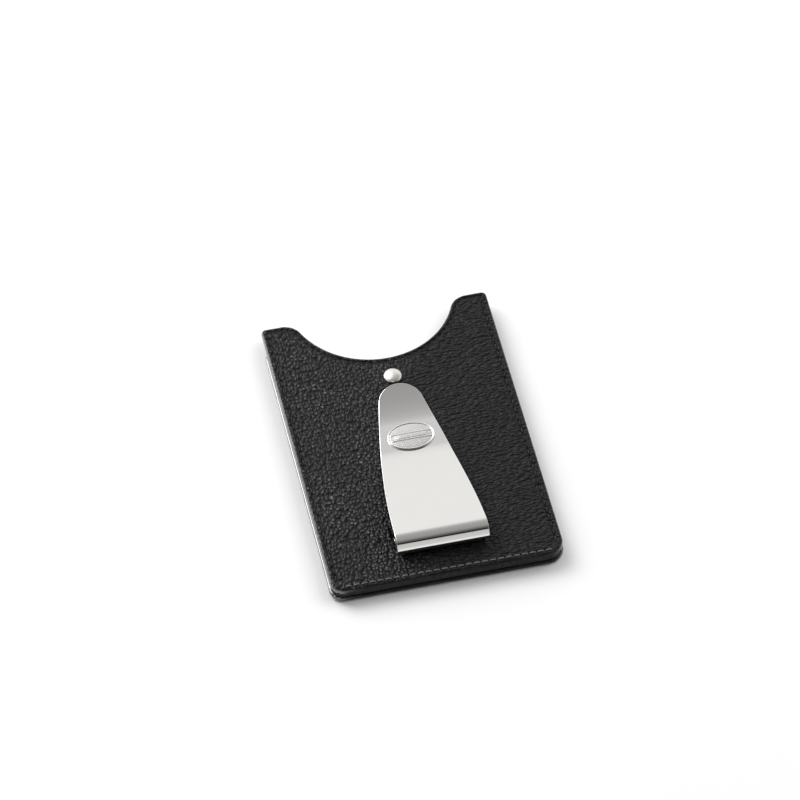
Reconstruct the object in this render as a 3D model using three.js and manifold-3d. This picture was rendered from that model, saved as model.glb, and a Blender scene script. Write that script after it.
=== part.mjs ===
// A leather card case with a sprung steel money clip riveted to its front.
// Millimetres. The case lies on its back: +Z points out of the front face, +Y towards the thumb
// notch, and the origin is under the middle of the back.
import * as THREE from 'three';
import { mergeVertices } from 'three/addons/utils/BufferGeometryUtils.js';
import Module from 'manifold-3d';

const wasm = await Module();
wasm.setup();

// ---- driving dimensions: the case --------------------------------------------------------------
const CASE_WIDTH = 70;
const CASE_HEIGHT = 102;
const CASE_BOTTOM = -CASE_HEIGHT / 2;
const FRONT_TOP = CASE_HEIGHT / 2;
const BACK_DROP = 7; // the back panel's top lies this much lower than the front's
const BACK_TOP = FRONT_TOP - BACK_DROP;
const FOOT_R = 4.5; // bottom corners
const HORN_R = 1.6; // top corners
const NOTCH_R = 25.3; // thumb notch
const NOTCH_RISE = 6.5; // the notch's centre lies this far above the panel's top
const LIP_R = 6; // round shoulder between the notch and the panel's top

// ---- driving dimensions: the layers, from the back up -------------------------------------------
const SKIN = 0.8; // leather
const LINING = 0.4;
const BACK_PANEL = 1.8;
const POCKET = 1.7; // room for two cards
const FRONT_PANEL = 2;
const POCKET_FLOOR = BACK_PANEL;
const POCKET_ROOF = POCKET_FLOOR + POCKET;
const FACE = POCKET_ROOF + FRONT_PANEL;
const RIM = 1; // leather turned over a panel's edge
const FIT_GAP = 0.3; // clearance round a piece that lies in a pocket of another
const STRIP_INSET = 0.4; // the edge strips stand back from the panels' edges
const STRIP_WIDTH = 4;

// ---- driving dimensions: the stitching ----------------------------------------------------------
const SIDE_ROW_INSET = 2;
const BOTTOM_ROW_INSET = 1.4;
const NOTCH_ROW_INSET = 1.6;
const SIDE_PITCH = 2.75;
const FINE_PITCH = 2.4; // along the bottom and the notch
const THREAD = 0.5; // width of a stitch
const THREAD_PINCH = 0.16; // width where the thread dips into its hole
const THREAD_SINK = 0.35; // depth of the stitching groove
const THREAD_TOP = 0.12; // the thread lies this far under the leather's face
const GROOVE = THREAD + 2 * FIT_GAP;
const SPARE = 3.8; // every straight row stops this far from the panel's corners

// ---- driving dimensions: the clip ---------------------------------------------------------------
const SHEET = 0.8; // spring steel
const BEND_Y = -39.2;
const BEND_R = 3; // outside radius of the U-bend
const BEND_CLEAR = 0.15; // under the bend
const TONGUE_HALF = 13.8; // half width at the bend
const TONGUE_CORNER_R = 1.2;
const TAPER_START = -40;
const TAPER_END = 14;
const TAPER_LOSS = 6.95; // half width lost over TAPER_REACH
const TAPER_REACH = 53;
const TAPER_POWER = 1.7;
const TONGUE_SLOPE = 0.19; // radians, fall of the tongue as it leaves the bend
const GRIP_CLEAR = 0.4; // under the tongue where it grips
const GRIP_FROM = -6.2; // the level stretch that grips the notes and carries the badge
const GRIP_TO = 5.4;
const FLARE_END = 20.9; // just past the tip, where the sheet has risen by TIP_RISE
const TIP_RISE = 1.9;
const TIP_SLOPE = 0.24; // radians
const LEG_HALF = 13.4;
const LEG_START = -38.2;
const LEG_DIVE_FROM = -37; // where the leg starts to dip through the leather
const LEG_DIVE = 2; // length of the dip
const LEG_END_R = 5;
const RIVET_Y = 24.2;

// ---- driving dimensions: the rivet and the badge ------------------------------------------------
const CAP_R = 2.75;
const CAP_EDGE = 0.35;
const CAP_HEIGHT = 1.4;
const CAP_SOCKET_DEPTH = 0.9;
const POST_R = 1.2;
const POST_STAND = 0.6; // how far the post stands up into the cap
const POST_FLANGE_R = 3.2;
const BADGE_HALF_X = 7.1;
const BADGE_HALF_Y = 5;
const BADGE_Y = -0.4;
const BADGE_THICK = 0.6;
const BADGE_RIM = 0.5;
const BADGE_SINK = 0.15; // depth of the field inside the rim

const ARC_DIVISIONS = 8;
const ROUND_SEGMENTS = 32;
const TAPER_STEPS = 14;
const GROOVE_STEPS = 48; // along a notch row
const BEND_STEPS = 18;
const SLOPE_STEPS = 12;
const FLARE_STEPS = 8;
const SLOPE_HANDLES = [0.55, 0.3]; // how long the slope keeps straight, as shares of its run
const FLARE_HANDLE = 0.35;
const LEVEL_STEP = 0.02; // keeps the sheet's thickness at the ends of the level stretch
const REACH = 60; // longer than any half width or half height

// ---- levels worked out from the dimensions above ------------------------------------------------
const LEG_ROOF = FACE - SKIN; // the leg's buried stretch lies just under the leather
const LEG_FLOOR = LEG_ROOF - SHEET;
const BEND_BOTTOM = FACE + BEND_CLEAR;
const BEND_Z = BEND_BOTTOM + BEND_R;
const GRIP_TOP = FACE + GRIP_CLEAR + SHEET;

// ---- materials ----------------------------------------------------------------------------------
function finish(color, roughness, metalness) {
  return () => new THREE.MeshStandardMaterial({ color, roughness, metalness });
}
const leather = finish(0x26272a, 0.5, 0);
const board = finish(0x6d675c, 0.9, 0);
const cloth = finish(0x1c1c20, 0.85, 0);
const thread = finish(0x101012, 0.7, 0);
const steel = finish(0xd8d6d0, 0.16, 1);
const nickel = finish(0xdedbcb, 0.25, 1);

// ---- solids from closed geometries --------------------------------------------------------------
function solid(geometry) {
  const bare = geometry.clone();
  bare.deleteAttribute('normal');
  bare.deleteAttribute('uv');
  const merged = mergeVertices(bare, 1e-4);
  return new wasm.Manifold(new wasm.Mesh({
    numProp: 3,
    vertProperties: new Float32Array(merged.attributes.position.array),
    triVerts: new Uint32Array(merged.index.array),
  }));
}

function geometryOf(body) {
  const mesh = body.getMesh();
  const geometry = new THREE.BufferGeometry();
  geometry.setAttribute('position', new THREE.BufferAttribute(mesh.vertProperties, 3));
  geometry.setIndex(new THREE.BufferAttribute(mesh.triVerts, 1));
  return geometry;
}

// A flat outline in the XY plane, made solid between two heights.
function slab(shape, low, high) {
  const geometry = new THREE.ExtrudeGeometry(shape, {
    depth: 1,
    bevelEnabled: false,
    curveSegments: ARC_DIVISIONS,
  });
  const position = geometry.attributes.position;
  for (let i = 0; i < position.count; i += 1) {
    position.setZ(i, position.getZ(i) > 0.5 ? high : low);
  }
  return solid(geometry);
}

// A side view in the YZ plane, made solid across the whole width.
function crossSlab(points) {
  const shape = new THREE.Shape(points);
  const geometry = new THREE.ExtrudeGeometry(shape, { depth: 2 * REACH, bevelEnabled: false });
  geometry.translate(0, 0, -REACH);
  const yzx = new THREE.Matrix4().makeBasis(
    new THREE.Vector3(0, 1, 0),
    new THREE.Vector3(0, 0, 1),
    new THREE.Vector3(1, 0, 0),
  );
  geometry.applyMatrix4(yzx);
  return solid(geometry);
}

function box(x0, x1, y0, y1, z0, z1) {
  const geometry = new THREE.BoxGeometry(x1 - x0, y1 - y0, z1 - z0);
  geometry.translate((x0 + x1) / 2, (y0 + y1) / 2, (z0 + z1) / 2);
  return solid(geometry);
}

function disc(radius, y, low, high) {
  const shape = new THREE.Shape();
  shape.absarc(0, y, radius, 0, 2 * Math.PI);
  return slab(shape, low, high);
}

// A turned piece round a vertical axis at the rivet's place; profile points are (radius, height).
function turned(profile) {
  const geometry = new THREE.LatheGeometry(profile, ROUND_SEGMENTS);
  geometry.rotateX(Math.PI / 2);
  geometry.translate(0, RIVET_Y, 0);
  return solid(geometry);
}

// ---- outlines -----------------------------------------------------------------------------------
// The scooped top edge of a panel, from the right shoulder to the left one.
function addNotch(path, top, inset) {
  const drop = NOTCH_RISE + LIP_R;
  const lipX = Math.sqrt((NOTCH_R + LIP_R) ** 2 - drop ** 2);
  const lean = Math.atan2(drop, lipX);
  const lipR = LIP_R - inset;
  path.absarc(lipX, top - LIP_R, lipR, Math.PI / 2, Math.PI - lean);
  path.absarc(0, top + NOTCH_RISE, NOTCH_R + inset, -lean, lean - Math.PI, true);
  path.absarc(-lipX, top - LIP_R, lipR, lean, Math.PI / 2);
}

// A panel's outline, drawn in from its edge by the inset.
function panel(top, inset) {
  const side = CASE_WIDTH / 2 - inset;
  const bottom = CASE_BOTTOM + inset;
  const foot = FOOT_R - inset;
  const horn = Math.max(HORN_R - inset, FIT_GAP);
  const hornY = top - inset - horn;
  const shape = new THREE.Shape();
  shape.absarc(side - foot, bottom + foot, foot, -Math.PI / 2, 0);
  shape.absarc(side - horn, hornY, horn, 0, Math.PI / 2);
  addNotch(shape, top, inset);
  shape.absarc(-side + horn, hornY, horn, Math.PI / 2, Math.PI);
  shape.absarc(-side + foot, bottom + foot, foot, Math.PI, 1.5 * Math.PI);
  return shape;
}

function tongueHalf(y) {
  const along = Math.max(y - TAPER_START, 0) / TAPER_REACH;
  return TONGUE_HALF - TAPER_LOSS * along ** TAPER_POWER;
}

// The tongue seen from the front: rounded corners at the bend, a curved taper and a round tip.
function tongueOutline() {
  const narrowing = (TAPER_END - TAPER_START) / TAPER_REACH;
  const slope = TAPER_LOSS * TAPER_POWER * narrowing ** (TAPER_POWER - 1) / TAPER_REACH;
  const lean = Math.atan(slope);
  const tipR = tongueHalf(TAPER_END) / Math.cos(lean);
  const tipY = TAPER_END - tipR * Math.sin(lean);
  const low = BEND_Y - BEND_R;
  const corner = TONGUE_CORNER_R;
  const right = [];
  for (let i = 0; i < TAPER_STEPS; i += 1) {
    const y = BEND_Y + (TAPER_END - BEND_Y) * i / TAPER_STEPS;
    right.push(new THREE.Vector2(tongueHalf(y), y));
  }
  const shape = new THREE.Shape();
  shape.absarc(TONGUE_HALF - corner, low + corner, corner, -Math.PI / 2, 0);
  right.forEach((point) => shape.lineTo(point.x, point.y));
  shape.absarc(0, tipY, tipR, lean, Math.PI - lean);
  right.reverse().forEach((point) => shape.lineTo(-point.x, point.y));
  shape.absarc(corner - TONGUE_HALF, low + corner, corner, Math.PI, 1.5 * Math.PI);
  return shape;
}

// The leg seen from the front, tapering to a round end about the rivet. Grown makes room for it.
function legOutline(grown) {
  const half = LEG_HALF + grown;
  const endR = LEG_END_R + grown;
  const taperFrom = LEG_DIVE_FROM + 2 * LEG_DIVE;
  const across = half;
  const along = RIVET_Y - taperFrom;
  const lean = Math.asin(endR / Math.hypot(across, along)) - Math.atan2(across, along);
  const shape = new THREE.Shape();
  shape.moveTo(-half, LEG_START - grown);
  shape.lineTo(half, LEG_START - grown);
  shape.lineTo(half, taperFrom);
  shape.absarc(0, RIVET_Y, endR, -lean, Math.PI + lean);
  shape.lineTo(-half, taperFrom);
  return shape;
}

// ---- stitching ----------------------------------------------------------------------------------
// A ribbon along a path, its half width given at each distance along it.
function ribbon(path, distances, halfWidth) {
  const length = path.getLength();
  const left = [];
  const right = [];
  distances.forEach((distance, i) => {
    const u = distance / length;
    const point = path.getPointAt(u);
    const tangent = path.getTangentAt(u);
    const out = new THREE.Vector2(-tangent.y, tangent.x).multiplyScalar(halfWidth(i));
    left.push(point.clone().add(out));
    right.push(point.clone().sub(out));
  });
  return new THREE.Shape(right.concat(left.reverse()));
}

// Whole stitches at about the pitch, ending in pinched points.
function threadShape(path, pitch) {
  const length = path.getLength();
  const stitches = Math.round(length / pitch);
  const half = length / (2 * stitches);
  const distances = Array.from({ length: 2 * stitches + 1 }, (_, i) => Math.min(i * half, length));
  return ribbon(path, distances, (i) => (i % 2 ? THREAD : THREAD_PINCH) / 2);
}

function grooveShape(path) {
  const length = path.getLength();
  const steps = path.curves.length > 1 ? GROOVE_STEPS : 1;
  const distances = Array.from({ length: steps + 1 }, (_, i) => length * i / steps);
  return ribbon(path, distances, () => GROOVE / 2);
}

function straightRow(x0, y0, x1, y1, overrun) {
  const from = new THREE.Vector2(x0, y0);
  const to = new THREE.Vector2(x1, y1);
  const extra = to.clone().sub(from).setLength(overrun);
  const path = new THREE.Path();
  path.moveTo(from.x - extra.x, from.y - extra.y);
  path.lineTo(to.x + extra.x, to.y + extra.y);
  return path;
}

function sideRow(side, top, overrun = 0) {
  const x = side * (CASE_WIDTH / 2 - SIDE_ROW_INSET);
  return straightRow(x, CASE_BOTTOM + SPARE, x, top - SPARE, overrun);
}

function bottomRow(overrun = 0) {
  const x = CASE_WIDTH / 2 - SPARE;
  const y = CASE_BOTTOM + BOTTOM_ROW_INSET;
  return straightRow(-x, y, x, y, overrun);
}

function notchRow(top, overrun = 0) {
  const x = CASE_WIDTH / 2 - NOTCH_ROW_INSET + overrun;
  const y = top - NOTCH_ROW_INSET;
  const path = new THREE.Path();
  path.moveTo(x, y);
  addNotch(path, top, NOTCH_ROW_INSET);
  path.lineTo(-x, y);
  return path;
}

// The four rows of one panel: name, path builder and pitch.
function rowsOf(panelName, top) {
  return [
    { name: `${panelName}_left_stitches`, path: (more) => sideRow(-1, top, more), pitch: SIDE_PITCH },
    { name: `${panelName}_right_stitches`, path: (more) => sideRow(1, top, more), pitch: SIDE_PITCH },
    { name: `${panelName}_bottom_stitches`, path: bottomRow, pitch: FINE_PITCH },
    { name: `${panelName}_notch_stitches`, path: (more) => notchRow(top, more), pitch: FINE_PITCH },
  ];
}

// ---- the clip's side views ----------------------------------------------------------------------
// The closed outline of a strip of sheet metal about a centre line of (y, z) points.
function stripSection(centre) {
  const over = [];
  const under = [];
  centre.forEach((point, i) => {
    const before = centre[Math.max(i - 1, 0)];
    const after = centre[Math.min(i + 1, centre.length - 1)];
    const run = after.clone().sub(before).normalize();
    const out = new THREE.Vector2(-run.y, run.x).multiplyScalar(SHEET / 2);
    over.push(point.clone().add(out));
    under.push(point.clone().sub(out));
  });
  return under.concat(over.reverse());
}

// Up round the bend, down the slope, level at the grip and up again at the tip.
function tongueCentre() {
  const meanR = BEND_R - SHEET / 2;
  const bend = new THREE.EllipseCurve(
    BEND_Y, BEND_Z, meanR, meanR, -Math.PI / 2, Math.PI / 2 - TONGUE_SLOPE, true,
  );
  const leave = bend.getPoint(1);
  const gripZ = GRIP_TOP - SHEET / 2;
  const gripStart = new THREE.Vector2(GRIP_FROM, gripZ);
  const gripEnd = new THREE.Vector2(GRIP_TO, gripZ);
  const run = GRIP_FROM - leave.x;
  const down = new THREE.Vector2(Math.cos(TONGUE_SLOPE), -Math.sin(TONGUE_SLOPE));
  const slope = new THREE.CubicBezierCurve(
    leave,
    leave.clone().addScaledVector(down, run * SLOPE_HANDLES[0]),
    new THREE.Vector2(GRIP_FROM - run * SLOPE_HANDLES[1], gripZ),
    gripStart,
  );
  const tip = new THREE.Vector2(FLARE_END, gripZ + TIP_RISE);
  const back = new THREE.Vector2(-Math.cos(TIP_SLOPE), -Math.sin(TIP_SLOPE));
  const rise = tip.x - GRIP_TO;
  const flare = new THREE.CubicBezierCurve(
    gripEnd,
    new THREE.Vector2(GRIP_TO + rise * FLARE_HANDLE, gripZ),
    tip.clone().addScaledVector(back, rise * FLARE_HANDLE),
    tip,
  );
  const levelPoints = [0, LEVEL_STEP, 1 - LEVEL_STEP, 1].map((t) => gripStart.clone().lerp(gripEnd, t));
  return [
    ...bend.getPoints(BEND_STEPS),
    ...slope.getPoints(SLOPE_STEPS).slice(1, -1),
    ...levelPoints,
    ...flare.getPoints(FLARE_STEPS).slice(1),
  ];
}

// Along the face, down through the slot and up to the rivet under the leather.
function legSection() {
  const dive = LEG_DIVE_FROM + LEG_DIVE;
  const bevel = SHEET / 2; // keeps the sheet's thickness through the dip
  return [
    [LEG_START, BEND_BOTTOM],
    [LEG_DIVE_FROM, BEND_BOTTOM],
    [dive, LEG_FLOOR],
    [REACH, LEG_FLOOR],
    [REACH, LEG_ROOF],
    [dive + bevel, LEG_ROOF],
    [LEG_DIVE_FROM + bevel, BEND_BOTTOM + SHEET],
    [LEG_START, BEND_BOTTOM + SHEET],
  ].map(([y, z]) => new THREE.Vector2(y, z));
}

// ---- pieces -------------------------------------------------------------------------------------
const clipCase = new THREE.Group();

function add(name, body, material) {
  const mesh = new THREE.Mesh(geometryOf(body), material());
  mesh.name = name;
  clipCase.add(mesh);
}

// A leather skin with its edge turned towards the pocket, grooved for its stitching. The body,
// hollow and groove are [low, high] heights.
function leatherTray(top, rows, body, hollow, groove) {
  const whole = slab(panel(top, 0), ...body).subtract(slab(panel(top, RIM), ...hollow));
  return rows.reduce(
    (tray, row) => tray.subtract(slab(grooveShape(row.path(FIT_GAP)), ...groove)),
    whole,
  );
}

function addStitches(rows, low, high) {
  rows.forEach((row) => add(row.name, slab(threadShape(row.path(0), row.pitch), low, high), thread));
}

function addBackPanel() {
  const rows = rowsOf('back', BACK_TOP);
  const boardTop = BACK_PANEL - LINING;
  const inside = RIM + FIT_GAP;
  const hollow = [SKIN, BACK_PANEL + 1];
  const tray = leatherTray(BACK_TOP, rows, [0, BACK_PANEL], hollow, [-1, THREAD_SINK]);
  add('back_leather', tray, leather);
  add('back_stiffener', slab(panel(BACK_TOP, inside), SKIN, boardTop), board);
  add('back_lining', slab(panel(BACK_TOP, inside), boardTop, BACK_PANEL), cloth);
  addStitches(rows, THREAD_TOP, THREAD_SINK);
}

function addEdgeStrips() {
  const side = CASE_WIDTH / 2 - STRIP_INSET - STRIP_WIDTH;
  const bottom = CASE_BOTTOM + STRIP_INSET + STRIP_WIDTH;
  const whole = slab(panel(BACK_TOP, STRIP_INSET), POCKET_FLOOR, POCKET_ROOF);
  const butt = side - FIT_GAP;
  add('left_edge_strip', whole.intersect(box(-REACH, -side, -REACH, REACH, 0, FACE)), leather);
  add('right_edge_strip', whole.intersect(box(side, REACH, -REACH, REACH, 0, FACE)), leather);
  add('bottom_edge_strip', whole.intersect(box(-butt, butt, -REACH, bottom, 0, FACE)), leather);
}

function addFrontPanel() {
  const rows = rowsOf('front', FRONT_TOP);
  const inside = RIM + FIT_GAP;
  const boardLow = POCKET_ROOF + LINING;
  const slotHalf = LEG_HALF + FIT_GAP;
  const slotTo = LEG_DIVE_FROM + LEG_DIVE + SHEET / 2 + 2 * FIT_GAP;
  const slot = box(-slotHalf, slotHalf, LEG_START - FIT_GAP, slotTo, LEG_ROOF - 1, FACE + 1);
  const body = [POCKET_ROOF, FACE];
  const hollow = [POCKET_ROOF - 1, LEG_ROOF];
  const skin = leatherTray(FRONT_TOP, rows, body, hollow, [FACE - THREAD_SINK, FACE + 1])
    .subtract(slot)
    .subtract(disc(POST_R + FIT_GAP, RIVET_Y, LEG_ROOF - 1, FACE + 1));
  add('front_leather', skin, leather);
  const window = slab(legOutline(FIT_GAP), boardLow - 1, FACE);
  add('front_stiffener', slab(panel(FRONT_TOP, inside), boardLow, LEG_ROOF).subtract(window), board);
  const flangeHole = disc(POST_FLANGE_R + FIT_GAP, RIVET_Y, POCKET_ROOF - 1, FACE);
  const lining = slab(panel(FRONT_TOP, inside), POCKET_ROOF, boardLow).subtract(flangeHole);
  add('front_lining', lining, cloth);
  addStitches(rows, FACE - THREAD_SINK, FACE - THREAD_TOP);
}

function addClip() {
  const legPlan = slab(legOutline(0), 0, REACH);
  const legHole = disc(POST_R + FIT_GAP, RIVET_Y, 0, REACH);
  const leg = crossSlab(legSection()).intersect(legPlan).subtract(legHole);
  add('clip_mounting_leg', leg, steel);
  const tonguePlan = slab(tongueOutline(), 0, REACH);
  add('clip_tongue', crossSlab(stripSection(tongueCentre())).intersect(tonguePlan), steel);
}

function ellipse(halfX, halfY) {
  const shape = new THREE.Shape();
  shape.absellipse(0, BADGE_Y, halfX, halfY, 0, 2 * Math.PI);
  return shape;
}

function addBadge() {
  const top = GRIP_TOP + BADGE_THICK;
  const field = ellipse(BADGE_HALF_X - BADGE_RIM, BADGE_HALF_Y - BADGE_RIM);
  const plate = slab(ellipse(BADGE_HALF_X, BADGE_HALF_Y), GRIP_TOP, top);
  add('clip_badge', plate.subtract(slab(field, top - BADGE_SINK, top + 1)), steel);
}

function addRivet() {
  const socketR = POST_R + FIT_GAP;
  const dome = new THREE.EllipseCurve(
    0, FACE + CAP_EDGE, CAP_R, CAP_HEIGHT - CAP_EDGE, 0, Math.PI / 2,
  );
  const cap = [
    new THREE.Vector2(0, FACE + CAP_SOCKET_DEPTH),
    new THREE.Vector2(socketR, FACE + CAP_SOCKET_DEPTH),
    new THREE.Vector2(socketR, FACE),
    new THREE.Vector2(CAP_R, FACE),
    ...dome.getPoints(ARC_DIVISIONS),
  ];
  cap[cap.length - 1].x = 0;
  add('rivet_cap', turned(cap), nickel);
  const post = [
    new THREE.Vector2(0, POCKET_ROOF),
    new THREE.Vector2(POST_FLANGE_R, POCKET_ROOF),
    new THREE.Vector2(POST_FLANGE_R, POCKET_ROOF + LINING),
    new THREE.Vector2(POST_R, POCKET_ROOF + LINING),
    new THREE.Vector2(POST_R, FACE + POST_STAND),
    new THREE.Vector2(0, FACE + POST_STAND),
  ];
  add('rivet_post', turned(post), nickel);
}

addBackPanel();
addEdgeStrips();
addFrontPanel();
addClip();
addBadge();
addRivet();

export default clipCase;
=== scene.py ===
import math

import bmesh
import bpy
import numpy as np
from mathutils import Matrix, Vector, geometry, kdtree, noise


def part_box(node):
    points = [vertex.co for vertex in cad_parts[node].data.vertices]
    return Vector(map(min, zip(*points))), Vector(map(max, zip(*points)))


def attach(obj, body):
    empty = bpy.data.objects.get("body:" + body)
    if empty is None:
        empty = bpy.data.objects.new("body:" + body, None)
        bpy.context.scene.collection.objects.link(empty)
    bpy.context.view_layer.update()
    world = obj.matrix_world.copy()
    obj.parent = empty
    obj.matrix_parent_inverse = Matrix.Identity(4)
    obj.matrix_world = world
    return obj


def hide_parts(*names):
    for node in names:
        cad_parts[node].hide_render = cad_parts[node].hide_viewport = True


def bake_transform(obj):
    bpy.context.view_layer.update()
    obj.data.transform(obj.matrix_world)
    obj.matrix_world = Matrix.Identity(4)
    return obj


# A black pebbled leather card case, lying on its back, with a polished steel money clip.
# Lengths are in millimetres until a mesh is made, and heights are up from the table.
MM = 0.001

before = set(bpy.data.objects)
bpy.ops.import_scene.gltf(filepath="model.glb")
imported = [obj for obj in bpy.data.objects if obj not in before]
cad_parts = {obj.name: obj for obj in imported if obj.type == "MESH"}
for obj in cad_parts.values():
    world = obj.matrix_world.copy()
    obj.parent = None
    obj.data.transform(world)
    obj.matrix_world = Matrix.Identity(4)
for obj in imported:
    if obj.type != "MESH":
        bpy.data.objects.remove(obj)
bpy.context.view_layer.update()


def box_mm(node):
    low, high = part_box(node)
    return low / MM, high / MM


# ---- places read from the frame -----------------------------------------------------------------
front_low, front_high = box_mm("front_leather")
_, back_high = box_mm("back_leather")
tongue_low, _ = box_mm("clip_tongue")
badge_low, badge_high = box_mm("clip_badge")
cap_low, cap_high = box_mm("rivet_cap")
leg_low, leg_high = box_mm("clip_mounting_leg")

HALF_WIDTH = front_high.x
BOTTOM = front_low.y
FRONT_TOP = front_high.y
BACK_TOP = back_high.y
FACE = front_high.z
POCKET_ROOF = front_low.z
POCKET_FLOOR = back_high.z

# ---- the case's outline -------------------------------------------------------------------------
LEFT_FOOT_R = 3.8  # this corner is pinched a little tighter than the other
RIGHT_FOOT_R = 5
HORN_R = 1.6
NOTCH_R = 25.3
NOTCH_RISE = 6.5
LIP_R = 6
LEAST_R = 0.3
OUTLINE_STEP = 0.36

# ---- the covers ---------------------------------------------------------------------------------
SKIN = 0.8
RIM = 1
FRONT_ROUND = 0.9
BACK_ROUND = 1.0
INNER_ROUND = 0.45
BACK_PROUD = 0.22  # the back panel's edge stands out a little beyond the front's
FACE_RINGS_TO = 3.7
FACE_RING_STEP = 0.22
FILL_STEP = 0.65

# ---- the stitching ------------------------------------------------------------------------------
SIDE_ROW_INSET = 2
BOTTOM_ROW_INSET = 1.4
NOTCH_ROW_INSET = 1.6
SIDE_PITCH = 2.75
FINE_PITCH = 2.4
ROW_SPARE = 3.8
THREAD_R = 0.23
STITCH_SHARE = 0.36  # half of a stitch's visible length, as a share of the pitch
DEEP_THREAD = 0.42  # depth of the thread's middle
SHALLOW_THREAD = 0.02  # in the front's bottom row, which stands proud

# ---- the clip -----------------------------------------------------------------------------------
SHEET = 0.8
BEND_R = 3
BEND_Y = tongue_low.y + BEND_R
BEND_Z = tongue_low.z + BEND_R
TONGUE_HALF = 13.8
TONGUE_CORNER_R = 0.9
FOOT_CORNER_TOP = 2.9
CROWN_R = 8  # the bend's outside, from the top forward and down: a gentle crown, a tight nose
NOSE_R = 2.1
FRONT_R = 16  # a nearly flat front that leans out a little as it goes down
NOSE_FROM, FRONT_FROM, FOLD_FROM = 79, 31, 25  # how far each part faces up at its top, in degrees
TAPER_START = -40
TAPER_END = 14
TAPER_LOSS = 6.95
TAPER_REACH = 53
TAPER_POWER = 1.7
TONGUE_SLOPE = 0.19
GRIP_FROM = -4.6
GRIP_TO = 5.0
GRIP_Z = badge_low.z - SHEET / 2
FLARE_END = 20.9
TIP_RISE = 1.9
TIP_SLOPE = 0.24
SLOPE_HANDLES = (0.55, 0.18)
FLARE_HANDLE = 0.3
SHEET_ROUND = 0.12
LEG_HALF = leg_high.x
LEG_START = 0.95
LEG_END_R = 5
LEG_DIVE_FROM = -37
LEG_DIVE = 2
RIVET_Y = (cap_low.y + cap_high.y) / 2


# ---- mesh helpers -------------------------------------------------------------------------------
def make_piece(name, points, faces, material, body, slot, *replaced):
    """A smooth-shaded mesh object made from millimetres, riding on a body of the frame."""
    mesh = bpy.data.meshes.new(name)
    mesh.from_pydata((np.asarray(points) * MM).tolist(), [], [list(map(int, f)) for f in faces])
    mesh.polygons.foreach_set("use_smooth", np.ones(len(mesh.polygons), bool))
    mesh.materials.append(material)
    mesh.update()
    piece = bpy.data.objects.new(name, mesh)
    bpy.context.scene.collection.objects.link(piece)
    if body:
        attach(piece, body)
    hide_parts(*replaced)
    return piece


def set_attribute(piece, name, values):
    attribute = piece.data.attributes.new(name, "FLOAT", "POINT")
    attribute.data.foreach_set("value", np.asarray(values, np.float32))


def weld(piece, distance):
    """Merges points that lie together and turns every face outwards."""
    work = bmesh.new()
    work.from_mesh(piece.data)
    bmesh.ops.remove_doubles(work, verts=work.verts, dist=distance * MM)
    bmesh.ops.recalc_face_normals(work, faces=work.faces)
    work.to_mesh(piece.data)
    work.free()


def grid_faces(rows, columns, start=0, round_columns=False, round_rows=False):
    """Quads between points laid out row by row."""
    faces = []
    for i in range(rows if round_rows else rows - 1):
        for j in range(columns if round_columns else columns - 1):
            a = start + i * columns + j
            b = start + i * columns + (j + 1) % columns
            below = (i + 1) % rows * columns - i * columns
            faces.append((a, b, b + below, a + below))
    return faces


def smoothstep(t):
    t = np.clip(t, 0, 1)
    return t * t * (3 - 2 * t)


def bell(x, width):
    return np.exp(-((x / width) ** 2))


def noise_at(points, scale, seed=0.0):
    """Smooth noise from -1 to 1 at each point, for features of about the given size."""
    shift = Vector((seed, 2 * seed, 3 * seed))
    return np.array([noise.noise(Vector(p) / scale + shift) for p in points])


def flat_points(xy, z):
    return np.column_stack((xy, np.full(len(xy), float(z))))


def travelled(line):
    """The distance along a line of flat points at each of them."""
    return np.concatenate(([0], np.cumsum(np.linalg.norm(np.diff(line, axis=0), axis=1))))


# ---- outlines -----------------------------------------------------------------------------------
def notch_arcs(top, inset):
    """The scooped top edge, from the right shoulder to the left: centre, radius and two angles."""
    drop = NOTCH_RISE + LIP_R
    lip_x = math.sqrt((NOTCH_R + LIP_R) ** 2 - drop**2)
    lean = math.atan2(drop, lip_x)
    return [
        ((lip_x, top - LIP_R), LIP_R - inset, math.pi / 2, math.pi - lean),
        ((0, top + NOTCH_RISE), NOTCH_R + inset, -lean, lean - math.pi),
        ((-lip_x, top - LIP_R), LIP_R - inset, lean, math.pi / 2),
    ]


def panel_arcs(top, inset):
    side = HALF_WIDTH - inset
    base = BOTTOM + inset
    right = max(RIGHT_FOOT_R - inset, LEAST_R)
    left = max(LEFT_FOOT_R - inset, LEAST_R)
    horn = max(HORN_R - inset, LEAST_R)
    horn_y = top - inset - horn
    return [
        ((side - right, base + right), right, -math.pi / 2, 0),
        ((side - horn, horn_y), horn, 0, math.pi / 2),
        *notch_arcs(top, inset),
        ((horn - side, horn_y), horn, math.pi / 2, math.pi),
        ((left - side, base + left), left, math.pi, 1.5 * math.pi),
    ]


def arc_points(arc, count):
    centre, radius, start, stop = arc
    angles = np.linspace(start, stop, count)
    return np.column_stack((np.cos(angles), np.sin(angles))) * radius + centre


def panel_ring(top, inset):
    """A loop of points round a panel, drawn in from its edge. All rings of a panel match."""
    arcs = panel_arcs(top, inset)
    full = panel_arcs(top, 0)
    runs = []
    for i, arc in enumerate(arcs):
        _, radius, start, stop = full[i]
        count = max(5, round(abs(stop - start) * radius / OUTLINE_STEP))
        points = arc_points(arc, count)
        runs.append(points)
        after = (i + 1) % len(arcs)
        gap = np.linalg.norm(arc_points(full[after], 2)[0] - arc_points(full[i], 2)[1])
        steps = round(gap / OUTLINE_STEP)
        if steps > 1:
            shares = np.linspace(0, 1, steps + 1)[1:-1, None]
            first = arc_points(arcs[after], 2)[0]
            runs.append(points[-1] * (1 - shares) + first * shares)
    return np.vstack(runs)


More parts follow.
